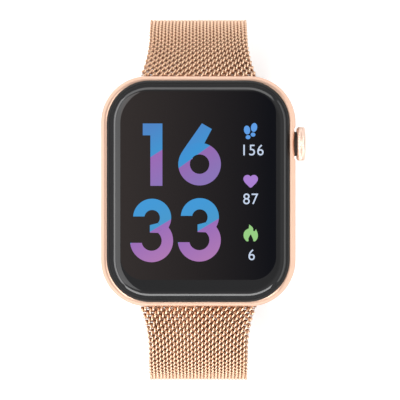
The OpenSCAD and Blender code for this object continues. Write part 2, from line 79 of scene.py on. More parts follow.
def linear(hex_colour):
    """The linear red, green and blue of an sRGB hex colour."""
    channels = [int(hex_colour[i : i + 2], 16) / 255 for i in (0, 2, 4)]
    return tuple(
        c / 12.92 if c <= 0.04045 else ((c + 0.055) / 1.055) ** 2.4 for c in channels
    )


# ---------------------------------------------------------------- sizes and colours


class WatchStrapSizes(bpy.types.PropertyGroup):
    """Sizes of the woven strap and of the route that it takes."""

    width: bpy.props.FloatProperty(
        name="Strap width", description="Width of the woven strap", default=20 * MM,
        unit="LENGTH", subtype="DISTANCE")
    turns: bpy.props.IntProperty(
        name="Turns", description="Turns of each wire coil across the strap", default=14)
    row_step: bpy.props.FloatProperty(
        name="Row step", description="Distance from one coil to the next", default=0.66 * MM,
        unit="LENGTH", subtype="DISTANCE")
    wire: bpy.props.FloatProperty(
        name="Wire radius", description="Radius of the coiled wire", default=0.19 * MM,
        unit="LENGTH", subtype="DISTANCE")
    thickness: bpy.props.FloatProperty(
        name="Thickness", description="Thickness of the weave", default=1.4 * MM,
        unit="LENGTH", subtype="DISTANCE")
    reach_up: bpy.props.FloatProperty(
        name="Upper reach", description="Reach of the loop at 12 o'clock", default=36.1 * MM,
        unit="LENGTH", subtype="DISTANCE")
    reach_low: bpy.props.FloatProperty(
        name="Lower reach", description="Reach of the loop at 6 o'clock", default=39 * MM,
        unit="LENGTH", subtype="DISTANCE")


class WatchColours(bpy.types.PropertyGroup):
    """Colours of the metal and of the watch face."""

    gold: bpy.props.FloatVectorProperty(
        name="Case gold", description="Anodised aluminium of the case", subtype="COLOR",
        default=linear("ebc5ae"))
    gold_steel: bpy.props.FloatVectorProperty(
        name="Coated steel", description="Coated steel of the crown and clasp",
        subtype="COLOR", default=linear("f0c8ac"))
    # The crown is the coated steel of the clasp made paler: a painted highlight for the light
    # it catches.
    crown: bpy.props.FloatVectorProperty(
        name="Crown", description="Pale coated steel of the crown", subtype="COLOR",
        default=linear("f6dccc"))
    gold_wire: bpy.props.FloatVectorProperty(
        name="Wire gold", description="Coated steel wire of the strap", subtype="COLOR",
        default=linear("f6d1b2"))
    small_text: bpy.props.FloatVectorProperty(
        name="Readings", description="Colour of the small readings", subtype="COLOR",
        default=linear("c8d7ee"))


# ---------------------------------------------------------------- materials


def node(tree, kind, links=None, **settings):
    """Adds a shader node, sets it and links its inputs."""
    made = tree.nodes.new(kind)
    for key, value in settings.items():
        if key in made.bl_rna.properties:
            setattr(made, key, value)
        else:
            made.inputs[key.replace("_", " ")].default_value = value
    for socket, source in (links or {}).items():
        tree.links.new(source, made.inputs[socket])
    return made


def start_material(name, **shader):
    """A material with one Principled shader whose own sockets are set."""
    made = bpy.data.materials.get(name)
    if made:
        return made, None, None
    made = bpy.data.materials.new(name)
    made.use_nodes = True
    tree = made.node_tree
    shade = tree.nodes["Principled BSDF"]
    for key, value in shader.items():
        shade.inputs[key.replace("_", " ")].default_value = value
    return made, tree, shade


def ramp_between(tree, fac, stops):
    """A colour ramp with the given (place, linear colour) stops."""
    ramp = node(tree, "ShaderNodeValToRGB", {"Fac": fac})
    elements = ramp.color_ramp.elements
    while len(elements) < len(stops):
        elements.new(0.5)
    for element, (place, colour) in zip(elements, stops):
        element.position = place
        element.color = (*colour, 1)
    return ramp


def shade_of(colour, factor):
    """A colour made darker or lighter, up to white."""
    return tuple(min(1.0, c * factor) for c in colour)


RELIEF = 0.02 * MM  # height of the bumps that a grain makes
GLANCING = (0.72, 0.68, 0.66, 1)  # coated metal darkens where it is seen edge on


def add_relief(tree, shade, height, strength):
    """Small bumps that follow a height."""
    relief = node(
        tree, "ShaderNodeBump", {"Height": height}, Strength=strength, Distance=RELIEF)
    tree.links.new(relief.outputs[0], shade.inputs["Normal"])


def add_grain(tree, shade, grain_mm, tones, bump, streak=(1, 1, 1), **noise):
    """Mottled colour and small bumps of one grain size; gives back the grain."""
    place = node(tree, "ShaderNodeTexCoord")
    drawn_out = node(
        tree, "ShaderNodeMapping", {"Vector": place.outputs["Object"]}, Scale=streak)
    grain = node(
        tree, "ShaderNodeTexNoise", {"Vector": drawn_out.outputs[0]},
        Scale=1000 / grain_mm, **noise)
    ramp = ramp_between(tree, grain.outputs["Fac"], [(0.3, tones[0]), (0.7, tones[1])])
    tree.links.new(ramp.outputs[0], shade.inputs["Base Color"])
    add_relief(tree, shade, grain.outputs["Fac"], bump)
    return grain.outputs["Fac"]


def metal(name, colour, roughness, grain_mm, bump=0.04, streak=(1, 1, 1), spread=0.08):
    """A coated, rolled or blasted metal: fine grain in roughness, colour and bump."""
    made, tree, shade = start_material(
        name, Metallic=1.0, Roughness=roughness, Specular_Tint=GLANCING)
    if tree is None:
        return made
    tones = shade_of(colour, 1 - spread), shade_of(colour, 1 + spread / 2)
    grain = add_grain(
        tree, shade, grain_mm, tones, bump, streak, Detail=3.0, Roughness=0.6)
    rough = node(
        tree, "ShaderNodeMapRange", {"Value": grain}, To_Min=roughness * 0.85,
        To_Max=roughness * 1.15)
    tree.links.new(rough.outputs[0], shade.inputs["Roughness"])
    return made


def plastic(name, colour, roughness, grain_mm=0.3, bump=0.05, spread=0.15):
    """Moulded plastic, rubber, film or board: faint mottling and a fine surface."""
    made, tree, shade = start_material(name, Roughness=roughness)
    if tree is None:
        return made
    tones = shade_of(colour, 1 - spread), shade_of(colour, 1 + spread)
    add_grain(tree, shade, grain_mm, tones, bump, Detail=2.0)
    return made


def spring_steel():
    # Cold rolled spring steel: a bright grey with fine lines along the strip.
    return metal("rolled_spring_steel", linear("c4c4c6"), 0.3, 0.3, 0.05, (0.1, 1, 1))


def lit_ink(name, colour):
    # Part of the lit display behind clear glass: an even colour that gives off its own light.
    return start_material(
        name, Base_Color=(0, 0, 0, 1), Roughness=0.2, Emission_Strength=1.0,
        Emission_Color=(*colour, 1))[0]


def sensor_crystal():
    # Smoked sapphire: clear and very smooth, with a faint haze where skin has wiped it.
    made, tree, shade = start_material(
        "smoked_sensor_crystal", Base_Color=(*linear("6a6a74"), 1), Roughness=0.02,
        IOR=1.76, Transmission_Weight=1.0)
    if tree is None:
        return made
    place = node(tree, "ShaderNodeTexCoord")
    haze = node(
        tree, "ShaderNodeTexNoise", {"Vector": place.outputs["Object"]}, Scale=400.0,
        Detail=2.0)
    tint = ramp_between(
        tree, haze.outputs["Fac"], [(0.3, linear("62626c")), (0.7, linear("74747e"))])
    tree.links.new(tint.outputs[0], shade.inputs["Base Color"])
    wiped = node(
        tree, "ShaderNodeMapRange", {"Value": haze.outputs["Fac"]}, To_Min=0.01,
        To_Max=0.06)
    tree.links.new(wiped.outputs[0], shade.inputs["Roughness"])
    return made


def digit_ink(name, split, bottom_y, top_y, colours):
    """Light of a large digit: purple below a slanting split and blue above it.

    split is (x, y, slope) of a point on the split; colours run from bottom to top.
    """
    # Part of the lit display in two colours, which meet in a line that is almost sharp.
    made, tree, shade = start_material(
        name, Base_Color=(0, 0, 0, 1), Roughness=0.2, Emission_Strength=1.0)
    if tree is None:
        return made
    x0, y0, slope = split
    place = node(tree, "ShaderNodeTexCoord")
    axes = node(tree, "ShaderNodeSeparateXYZ", {"Vector": place.outputs["Object"]})
    rise = node(
        tree, "ShaderNodeMath", {0: axes.outputs["X"], 2: axes.outputs["Y"]},
        operation="MULTIPLY_ADD")
    rise.inputs[1].default_value = -slope
    height = node(
        tree, "ShaderNodeMapRange", {"Value": rise.outputs[0]},
        From_Min=(bottom_y - slope * x0) * MM, From_Max=(top_y - slope * x0) * MM)
    at = (y0 - bottom_y) / (top_y - bottom_y)
    blur = 0.006
    places = (0.0, at - blur, at + blur, 1.0)
    ramp = ramp_between(
        tree, height.outputs[0], [(p, linear(c)) for p, c in zip(places, colours)])
    tree.links.new(ramp.outputs[0], shade.inputs["Emission Color"])
    return made


def cover_glass_material(name, left, right, half_x, half_y, centre_y, radius, edge_z):
    """Cover glass with black print behind it, and a painted reflection on the display inside.

    The display is a rounded rectangle with a painted reflection, lighter at one side than the
    other; left and right are (x, colour) of its two sides.
    """
    made, tree, shade = start_material(name, Roughness=0.03, IOR=1.52)
    if tree is None:
        return made
    place = node(tree, "ShaderNodeTexCoord")
    centred = node(
        tree, "ShaderNodeMapping", {"Vector": place.outputs["Object"]},
        Location=(0, -centre_y, 0))
    size = node(
        tree, "ShaderNodeVectorMath", {0: centred.outputs[0]}, operation="ABSOLUTE")
    inner = node(tree, "ShaderNodeVectorMath", {0: size.outputs[0]}, operation="SUBTRACT")
    any_depth = 10
    inner.inputs[1].default_value = (half_x - radius, half_y - radius, any_depth)
    corner = node(tree, "ShaderNodeVectorMath", {0: inner.outputs[0]}, operation="MAXIMUM")
    corner.inputs[1].default_value = (0, 0, 0)
    reach = node(tree, "ShaderNodeVectorMath", {0: corner.outputs[0]}, operation="LENGTH")
    blur = 0.05 * MM
    inside = node(
        tree, "ShaderNodeMapRange", {"Value": reach.outputs["Value"]},
        From_Min=radius + blur, From_Max=radius - blur)
    axes = node(tree, "ShaderNodeSeparateXYZ", {"Vector": place.outputs["Object"]})
    across = node(
        tree, "ShaderNodeMapRange", {"Value": axes.outputs["X"]}, From_Min=left[0],
        From_Max=right[0])
    # Painted reflection: the display area fades from lighter at the left to near black at the
    # right; the border stays an even dark grey.
    glow = ramp_between(tree, across.outputs[0], [(0.0, left[1]), (1.0, right[1])])
    lit = node(tree, "ShaderNodeMix", {"Factor": inside.outputs[0]}, data_type="RGBA")
    lit.inputs[6].default_value = (*linear("222223"), 1)
    tree.links.new(glow.outputs[0], lit.inputs[7])
    # The steep ground edge is matt and black, and reflects little.
    fade = 0.15 * MM
    edge = node(
        tree, "ShaderNodeMapRange", {"Value": axes.outputs["Z"]}, From_Min=edge_z - fade,
        From_Max=edge_z + fade)
    dark = node(tree, "ShaderNodeMix", {"Factor": edge.outputs[0]}, data_type="RGBA")
    dark.inputs[6].default_value = (*linear("030303"), 1)
    tree.links.new(lit.outputs[2], dark.inputs[7])
    tree.links.new(dark.outputs[2], shade.inputs["Base Color"])
    for socket, ground, polished in (
            ("Roughness", 0.4, 0.03), ("Specular IOR Level", 0.12, 0.5)):
        level = node(
            tree, "ShaderNodeMapRange", {"Value": edge.outputs[0]}, To_Min=ground,
            To_Max=polished)
        tree.links.new(level.outputs[0], shade.inputs[socket])
    return made


# ---------------------------------------------------------------- mesh helpers


def piece(name, bm, material, smooth=True, angle=40):
    """Makes a finished object at the origin from a bmesh."""
    bmesh.ops.recalc_face_normals(bm, faces=bm.faces[:])
    mesh = bpy.data.meshes.new(name)
    bm.to_mesh(mesh)
    bm.free()
    made = bpy.data.objects.new(name, mesh)
    bpy.context.scene.collection.objects.link(made)
    mesh.materials.append(material)
    if smooth:
        mesh.shade_smooth()
        mesh.set_sharp_from_angle(angle=math.radians(angle))
    return made


def spun(points, start, segments):
    """A solid of revolution about X: (along, radius) points spun a full turn."""
    bm = bmesh.new()
    made = [bm.verts.new(Vector(start) + Vector((a, 0, r))) for a, r in points]
    for a, b in zip(made, made[1:]):
        bm.edges.new((a, b))
    bmesh.ops.spin(
        bm, geom=bm.verts[:] + bm.edges[:], cent=start, axis=(1, 0, 0),
        angle=math.tau, steps=segments, use_merge=True, use_duplicate=False)
    bmesh.ops.remove_doubles(bm, verts=bm.verts[:], dist=0.0001 * MM)
    return bm


def turn_to_x(bm, verts):
    """Turns a shape that faces Z so that it faces X."""
    bmesh.ops.rotate(bm, verts=verts, matrix=Matrix.Rotation(math.pi / 2, 3, "Y"))


def cap_ends(bm):
    bmesh.ops.holes_fill(bm, edges=[e for e in bm.edges if e.is_boundary], sides=0)


# ---------------------------------------------------------------- strap


class Route:
    """The middle line of the strap in the Y and Z plane, from a lug to its end."""

    def __init__(self, start, heading):
        self.parts = []
        self.length = 0.0
        self.point = start
        self.heading = heading

    def add(self, length, curve):
        y, z = self.point
        self.parts.append((self.length, y, z, self.heading, curve))
        self.point, self.heading = self.walk(self.parts[-1], length)
        self.length += length
        return self

    @staticmethod
    def walk(part, run):
        _, y, z, heading, curve = part
        turned = heading + curve * run
        if curve:
            y = y + (np.sin(turned) - math.sin(heading)) / curve
            z = z - (np.cos(turned) - math.cos(heading)) / curve
        else:
            y, z = y + run * math.cos(heading), z + run * math.sin(heading)
        return (y, z), turned

    def at(self, s):
        """Places and headings at distances s."""
        y, z, heading = np.zeros_like(s), np.zeros_like(s), np.zeros_like(s)
        for part, follows in zip(self.parts, self.parts[1:] + [None]):
            here = s >= part[0] if part is not self.parts[0] else np.isfinite(s)
            if follows:
                here &= s < follows[0]
            (part_y, part_z), part_heading = self.walk(part, s - part[0])
            y, z = np.where(here, part_y, y), np.where(here, part_z, z)
            heading = np.where(here, part_heading, heading)
        return y, z, heading


# Places are (Y, Z) of the upper strap; the lower strap is the same turned half round.
PIN = (21.3 * MM, 2.3 * MM)  # lug hinge
HINGE_Z = -36.5 * MM  # bottom hinges of the loop
FLAT_Z = -38.0 * MM  # middle of the flat bottom mesh
WIDEST = {"up": -20.0 * MM, "low": -15.0 * MM}
BAR = (8.2 * MM, -39.6 * MM)  # bar of the ring that the strap folds round
WRAP = 1.6 * MM  # radius of that fold
RING_END = (13.0 * MM, -39.6 * MM)  # outer face of the other bar of the ring
CLASP_EDGE = -1.5 * MM
LUG_GAP = 1.05 * MM  # from the hinge to the first coil
FLARE_END = 31.1 * MM  # where the flare towards the lug has died out
FLARE_RADIUS = 22 * MM
FLARE_RUN = 10 * MM
LUG_END = 14 * MM  # only rows this near the lug are flared


def strap_route(side, sizes):
    """The route of one strap, worked out as its solid is, and where its hinge is."""
    reach = (sizes.reach_up if side == "up" else sizes.reach_low) - sizes.thickness / 2
    wide = WIDEST[side]
    dy = reach - PIN[0]
    r1 = (dy * dy + (PIN[1] - wide) ** 2) / (2 * dy)
    r2 = (dy * dy + (wide - HINGE_Z) ** 2) / (2 * dy)
    start = math.atan2(PIN[1] - wide, PIN[0] - reach + r1)
    low = math.atan2(HINGE_Z - wide, PIN[0] - reach + r2)
    route = Route(PIN, start - math.pi / 2).add(r1 * start, -1 / r1).add(-r2 * low, -1 / r2)
    hinge = route.length
    if side == "up":
        y, z = RING_END[0] - PIN[0], RING_END[1] - HINGE_Z
        r3 = -(y * y + z * z) / (2 * (y * math.cos(low) + z * math.sin(low)))
        chord = math.asin(math.hypot(y, z) / (2 * r3))
        route.add(2 * r3 * chord, -1 / r3)
    else:
        r3 = (HINGE_Z - FLAT_Z) / (1 + math.sin(low))
        middle = PIN[0] - r3 * math.cos(low)
        route.add(r3 * (low + math.pi / 2), -1 / r3)
        route.add(middle + BAR[0], 0.0)
        route.add(math.pi * WRAP, 1 / WRAP)
        route.add(BAR[0] - CLASP_EDGE, 0.0)
    return route, hinge


def coil_row(sizes, turned):
    """One flattened wire coil across the strap, lying along X, as a mesh."""
    radius = sizes.thickness / 2 - sizes.wire
    facets, sides = 10, 6
    core = 0.1 * MM  # radius of the straight wires
    stretch = 1.28  # the coils are rolled wider than they are thick
    bm = bmesh.new()
    bmesh.ops.create_circle(bm, segments=sides, radius=sizes.wire)
    lean = math.atan2(math.tau * radius * sizes.turns, sizes.width)
    turn_to_x(bm, bm.verts[:])
    bmesh.ops.rotate(bm, verts=bm.verts[:], matrix=Matrix.Rotation(lean, 3, "Z"))
    bmesh.ops.translate(
        bm, verts=bm.verts[:], vec=(sizes.wire - sizes.width / 2, 0, radius))
    if turned:
        bmesh.ops.rotate(bm, verts=bm.verts[:], matrix=Matrix.Rotation(math.pi, 3, "X"))
    steps = facets * sizes.turns
    across = (sizes.width - 2 * sizes.wire) / steps
    bmesh.ops.spin(
        bm, geom=bm.verts[:] + bm.edges[:], cent=(0, 0, 0), axis=(-1, 0, 0),
        dvec=(across, 0, 0), angle=math.tau * sizes.turns, steps=steps,
        use_merge=False, use_duplicate=False)
    cap_ends(bm)
    bmesh.ops.scale(bm, verts=bm.verts[:], vec=(1, stretch, 1))
    # Two straight wires run through the coil and close the weave.
    for side in (-1, 1):
        straight = bmesh.ops.create_cone(
            bm, cap_ends=True, segments=sides, radius1=core, radius2=core,
            depth=sizes.width - 2 * sizes.wire)["verts"]
        turn_to_x(bm, straight)
        bmesh.ops.translate(bm, verts=straight, vec=(0, side * sizes.row_step / 4, 0))
    bmesh.ops.recalc_face_normals(bm, faces=bm.faces[:])
    mesh = bpy.data.meshes.new("coil_row")
    bm.to_mesh(mesh)
    bm.free()
    return mesh


def crest_of(x, s, n, folded, sizes):
    """How far out of the weave each point stands, from 0 at its middle to 1."""
    # This measure sets the wire's painted shade: deep points are painted dark, the inner face
    # is kept darker and the strap's edges lighter.
    inner_face, edge_band, edge_crest = 0.6, 0.5 * MM, 0.7
    out = np.where(s > folded, -n, n)  # the fold turns the inner face outwards
    crest = np.where(out > 0, out, -inner_face * out) / (sizes.thickness / 2)
    selvedge = np.clip(1 - (sizes.width / 2 - np.abs(x)) / edge_band, 0, 1)
    return np.maximum(crest, edge_crest * selvedge)


def weave(name, side, first, last, sizes, material):
    """Rows of interlinked coils along a route from distance first to last."""
    route, _ = strap_route(side, sizes)
    rows = [coil_row(sizes, turned) for turned in (False, True)]
    bm = bmesh.new()
    count = int((last - first) / sizes.row_step) + 1
    start = round(first / sizes.row_step)
    for i in range(count):
        row = rows[(start + i) % 2].copy()
        row.transform(Matrix.Translation((0, first + i * sizes.row_step, 0)))
        bm.from_mesh(row)
        bpy.data.meshes.remove(row)
    mesh = bpy.data.meshes.new(name)
    bm.to_mesh(mesh)
    bm.free()
    for row in rows:
        bpy.data.meshes.remove(row)
    flat = np.zeros(len(mesh.vertices) * 3)
    mesh.vertices.foreach_get("co", flat)
    x, s, n = flat.reshape(-1, 3).T
    y, z, heading = route.at(s)
    folded = route.length if side == "up" else route.parts[-2][0] + WRAP
    # The wire material paints shade from this value: dark deep in the weave, gold at the
    # crests.
    crest = mesh.attributes.new("crest", "FLOAT", "POINT")
    crest.data.foreach_set("value", crest_of(x, s, n, folded, sizes))
    near = np.clip(FLARE_END - y, 0, FLARE_RUN) * (s < LUG_END)
    flare = FLARE_RADIUS - np.sqrt(FLARE_RADIUS**2 - near**2)
    x = x * (1 + 2 * flare / sizes.width)
    y, z = y - n * np.sin(heading), z + n * np.cos(heading)
    if side == "low":
        x, y = -x, -y
    mesh.vertices.foreach_set("co", np.stack([x, y, z], 1).ravel())
    mesh.materials.append(material)
    mesh.shade_smooth()
    mesh.update()
    made = bpy.data.objects.new(name, mesh)
    bpy.context.scene.collection.objects.link(made)
    return made


def wire_material(colour):
    # Coated steel wire rolled nearly flat: smoother crests and rougher crossings below, with
    # painted shade that turns the deep crossings dark brown and leaves the crests gold.
    made, tree, shade = start_material("rolled_gold_coated_wire", Metallic=1.0, Roughness=0.25)
    if tree is None:
        return made
    crest = node(tree, "ShaderNodeAttribute", attribute_name="crest")
    # Painted shade: dark brown deep in the weave, gold at the crests.
    painted_shade_ramp = ramp_between(
        tree, crest.outputs["Fac"],
        [(0.05, linear("5c3a24")), (0.4, linear("c2967a")), (0.7, shade_of(colour, 0.98)),
         (0.97, shade_of(colour, 1.05))])
    tree.links.new(painted_shade_ramp.outputs[0], shade.inputs["Base Color"])
    dull = node(
        tree, "ShaderNodeMapRange", {"Value": crest.outputs["Fac"]}, From_Min=0.3,
        From_Max=0.9, To_Min=0.5, To_Max=0.22)
    tree.links.new(dull.outputs[0], shade.inputs["Roughness"])
    place = node(tree, "ShaderNodeTexCoord")
    drawing_marks_mm = 0.25
    grain = node(
        tree, "ShaderNodeTexNoise", {"Vector": place.outputs["Object"]},
        Scale=1000 / drawing_marks_mm, Detail=2.0)
    add_relief(tree, shade, grain.outputs["Fac"], 0.1)
    return made


class WATCH_OT_straps(bpy.types.Operator):
    """Weave the strap from coiled wire along the loop"""

    bl_idname = "watch.straps"
    bl_label = "Woven strap"

    def execute(self, context):
        sizes = context.scene.watch_strap
        wire = wire_material(tuple(context.scene.watch_colours.gold_wire))
        up, _ = strap_route("up", sizes)
        low, low_hinge = strap_route("low", sizes)
        half = sizes.thickness / 2
        lug = LUG_GAP + half
        upper = weave("upper_weave", "up", lug, up.length - half, sizes, wire)
        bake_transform(upper)
        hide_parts("upper_mesh", "ring_mesh")
        step = sizes.row_step
        lower_rows = int((low_hinge - lug) / step)
        seam = lug + (lower_rows + 1) * step
        last_row = seam - 0.9 * step
        lower = weave("lower_weave", "low", lug, last_row, sizes, wire)
        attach(lower, "lower_strap")
        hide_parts("lower_mesh")
        tail_start = low.length - (BAR[0] - CLASP_EDGE)
        base_rows = int((tail_start - seam) / step)
        base = weave("base_weave", "low", seam, seam + base_rows * step, sizes, wire)
        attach(base, "closure")
        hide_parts("base_mesh")
        tail = weave(
            "tail_weave", "low", seam + (base_rows + 1) * step, low.length - half, sizes,
            wire)
        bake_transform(tail)
        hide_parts("tail_mesh")
        return {"FINISHED"}


# ---------------------------------------------------------------- crown


TEETH = 56
TOOTH = 0.07 * MM  # half the height of a tooth


def knurled(start, end, radius, axis):
    """The crown's knob: a toothed band between a bevelled back and a rounded front."""
    # (place along the crown, millimetres in from its radius, how deep the teeth are cut)
    profile = [
        (start, 1.2, 0), (start, 0.5, 0), (start + 0.12 * MM, 0.3, 0.3),
        (start + 0.35 * MM, 0.13, 1), (end - 0.75 * MM, 0.13, 1),
        (end - 0.5 * MM, 0.2, 0.4), (end - 0.42 * MM, 0.16, 0),
        (end - 0.2 * MM, 0.2, 0), (end - 0.05 * MM, 0.42, 0),
        (end, 0.75, 0), (end - 0.02 * MM, 0.95, 0)]
    facets = 4  # points round each tooth
    bm = bmesh.new()
    bmesh.ops.create_circle(bm, segments=TEETH * facets, radius=radius)
    turn_to_x(bm, bm.verts[:])
    bmesh.ops.translate(bm, verts=bm.verts[:], vec=axis)

    def settle(verts, x, inset, depth):
        for v in verts:
            spoke = Vector((0, v.co.y, v.co.z)) - axis
            swell = math.cos(math.atan2(spoke.z, spoke.y) * TEETH) - 1
            out = radius - inset * MM + depth * TOOTH * swell
            v.co = axis + spoke.normalized() * out + Vector((x, 0, 0))

    settle(bm.verts[:], *profile[0])
    edges = bm.edges[:]
    for stop in profile[1:]:
        grown = bmesh.ops.extrude_edge_only(bm, edges=edges)["geom"]
        edges = [g for g in grown if isinstance(g, bmesh.types.BMEdge)]
        settle([g for g in grown if isinstance(g, bmesh.types.BMVert)], *stop)
    cap_ends(bm)
    return bm


class WATCH_OT_crown(bpy.types.Operator):
    """Turn and knurl the crown"""

    bl_idname = "watch.crown"
    bl_label = "Crown"

    def execute(self, context):
        low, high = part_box("crown_knob")
        cap_low, cap_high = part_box("crown_cap")
        y, z = (low.y + high.y) / 2, (low.z + high.z) / 2
        bm = knurled(low.x, high.x, (high.y - low.y) / 2, Vector((0, y, z)))
        # Blasted and vapour coated steel: rough, with wide soft highlights, and paler than the
        # clasp's steel as a painted highlight.
        gold = metal(
            "crown_gold_coated_steel", tuple(context.scene.watch_colours.crown), 0.5, 0.2)
        knob = piece("knurled_crown", bm, gold, angle=50)
        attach(knob, "crown")
        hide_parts("crown_knob")
        # A dark ring between the recess in the case and the crown: a painted shadow that
        # stands in for the shade in the gap.
        wide, inner, outer = 2.4 * MM, low.x - 0.56 * MM, low.x - 0.02 * MM
        bm = spun(
            [(0, 0), (0, wide), (outer - inner, wide), (outer - inner, 0)], (inner, y, z), 48)
        # Dull black with a brown cast, made with the plastic finish: a painted shadow, so the
        # gap reads as a shadow.
        rubber = plastic("dark_gap_painted_shadow", linear("241a14"), 0.7, 0.2)
        seal = piece("crown_gap_painted_shadow", bm, rubber, angle=50)
        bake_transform(seal)
        # Slightly domed end cap, finely turned.
        rim = (cap_high.y - cap_low.y) / 2 - 0.04 * MM
        bm = spun(
            [(0, 0), (0, rim), (0.1 * MM, rim), (0.2 * MM, rim - 0.08 * MM),
             (0.25 * MM, rim * 0.75), (0.28 * MM, rim * 0.4), (0.29 * MM, 0)],
            (cap_low.x, y, z), 64)
        cap = piece("crown_end_cap", bm, gold, angle=50)
        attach(cap, "crown")
        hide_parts("crown_cap")
        return {"FINISHED"}


# ---------------------------------------------------------------- springs


def catch_spring(low, high, y):
    """A coil spring that stands between two levels, about a line along Z."""
    wire, turns, steps = 0.12 * MM, 4, 96
    bm = bmesh.new()
    bmesh.ops.create_circle(bm, segments=10, radius=wire)
    bmesh.ops.rotate(bm, verts=bm.verts[:], matrix=Matrix.Rotation(math.pi / 2, 3, "X"))
    bmesh.ops.translate(bm, verts=bm.verts[:], vec=(high.x - wire, 0, low.z + wire))
    bmesh.ops.spin(
        bm, geom=bm.verts[:] + bm.edges[:], cent=(0, 0, 0), axis=(0, 0, 1),
        dvec=(0, 0, (high.z - low.z - 2 * wire) / steps), angle=math.tau * turns,
        steps=steps, use_merge=False, use_duplicate=False)
    cap_ends(bm)
    bmesh.ops.translate(bm, verts=bm.verts[:], vec=(0, y, 0))
    return bm


class WATCH_OT_springs(bpy.types.Operator):
    """Make the springs that give way when a button or the crown is pressed"""

    bl_idname = "watch.springs"
    bl_label = "Springs"

    def execute(self, context):
        steel = spring_steel()
        low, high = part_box("latch_springs")
        for end, y in (("upper", high.y - high.x), ("lower", low.y + high.x)):
            coil = piece(end + "_catch_spring", catch_spring(low, high, y), steel)
            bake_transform(coil)
            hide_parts("latch_springs")
        low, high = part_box("switch_dome")
        y, z = (low.y + high.y) / 2, (low.z + high.z) / 2
        wide, tall = (high.y - low.y) / 2, high.x - low.x
        bm = spun(
            [(0, 0), (0, wide), (tall * 0.15, wide), (tall * 0.5, wide * 0.85),
             (tall * 0.85, wide * 0.5), (tall, wide * 0.25), (tall, 0)], (low.x, y, z), 48)
        dome = piece("crown_switch_dome", bm, steel)
        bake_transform(dome)
        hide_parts("switch_dome")
        return {"FINISHED"}


# ---------------------------------------------------------------- watch face


FILM = 0.012  # millimetres that the lit shapes stand above the glass


def face_level():
    """The level of the top of the cover glass."""
    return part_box("cover_glass")[1].z


def stroke_arc(bm, centre, inner, outer, start, end):
    """A curved stroke: an edge from inner to outer radius spun from start to end degrees."""
    a = math.radians(start)
    spoke = Vector((math.cos(a), math.sin(a), 0))
    at = Vector((*centre, 0))
    ends = [bm.verts.new(at + spoke * inner), bm.verts.new(at + spoke * outer)]
    edge = bm.edges.new(ends)
    sweep, facet = end - start, 6
    bmesh.ops.spin(
        bm, geom=ends + [edge], cent=at, axis=(0, 0, 1), angle=math.radians(sweep),
        steps=max(6, int(abs(sweep) / facet)), use_merge=abs(sweep) == 360,
        use_duplicate=False)


def stroke_shape(bm, corners):
    """A flat shape with straight sides."""
    bm.faces.new([bm.verts.new((x, y, 0)) for x, y in corners])


def round_spot(bm, centre, size, turn=0.0):
    """A filled ellipse."""
    made = bmesh.ops.create_circle(bm, cap_ends=True, segments=32, radius=1.0)
    place = Matrix.Translation((*centre, 0)) @ Matrix.Rotation(math.radians(turn), 4, "Z")
    bmesh.ops.transform(
        bm, verts=made["verts"], matrix=place @ Matrix.Diagonal((*size, 1, 1)))


def lit_piece(name, bm, material):
    """Puts a flat shape, drawn in millimetres, on the display as a thin lit film."""
    bmesh.ops.recalc_face_normals(bm, faces=bm.faces[:])
    for face in [f for f in bm.faces if f.normal.z < 0]:
        face.normal_flip()
    bmesh.ops.translate(bm, verts=bm.verts[:], vec=(0, 0, FILM))
    grown = bmesh.ops.extrude_face_region(bm, geom=bm.faces[:], use_keep_orig=True)
    verts = [g for g in grown["geom"] if isinstance(g, bmesh.types.BMVert)]
    bmesh.ops.translate(bm, verts=verts, vec=(0, 0, -1.5 * FILM))
    bmesh.ops.transform(
        bm, verts=bm.verts[:],
        matrix=Matrix.Translation((0, 0, face_level())) @ Matrix.Scale(MM, 4))
    made = piece(name, bm, material, smooth=False)
    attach(made, "case")
    return made


def three(bm, x, y):
    """The figure three, about the middle of its lower bowl."""
    low_bowl = (x, y), 1.95, 4.16
    high_bowl = (x + 0.11, y + 4.43), 1.5, 3.68
    stroke_arc(bm, *low_bowl, 165, 270)
    stroke_arc(bm, *high_bowl, 195, 90)
    for level, side in ((y - 0.42, 1), (y + 4.68, -1)):
        # square off the ends of both bowls
        near = [v for v in bm.verts if (v.co.y - y - 2.1) * side < 0]
        parts = list({g for v in near for g in (v, *v.link_edges, *v.link_faces)})
        bmesh.ops.bisect_plane(
            bm, geom=parts, dist=1e-5, plane_co=(0, level, 0), plane_no=(0, side, 0),
            clear_outer=True)
    stroke_arc(bm, *low_bowl, -90, 50)
    stroke_arc(bm, *high_bowl, 90, -42)
    stroke_shape(bm, [(x - 0.33, y + 1.55), (x + 1.25, y + 1.5), (x + 2.67, y + 3.19),
                      (x + 2.85, y + 2.0), (x + 1.2, y + 3.4), (x - 0.33, y + 3.0)])


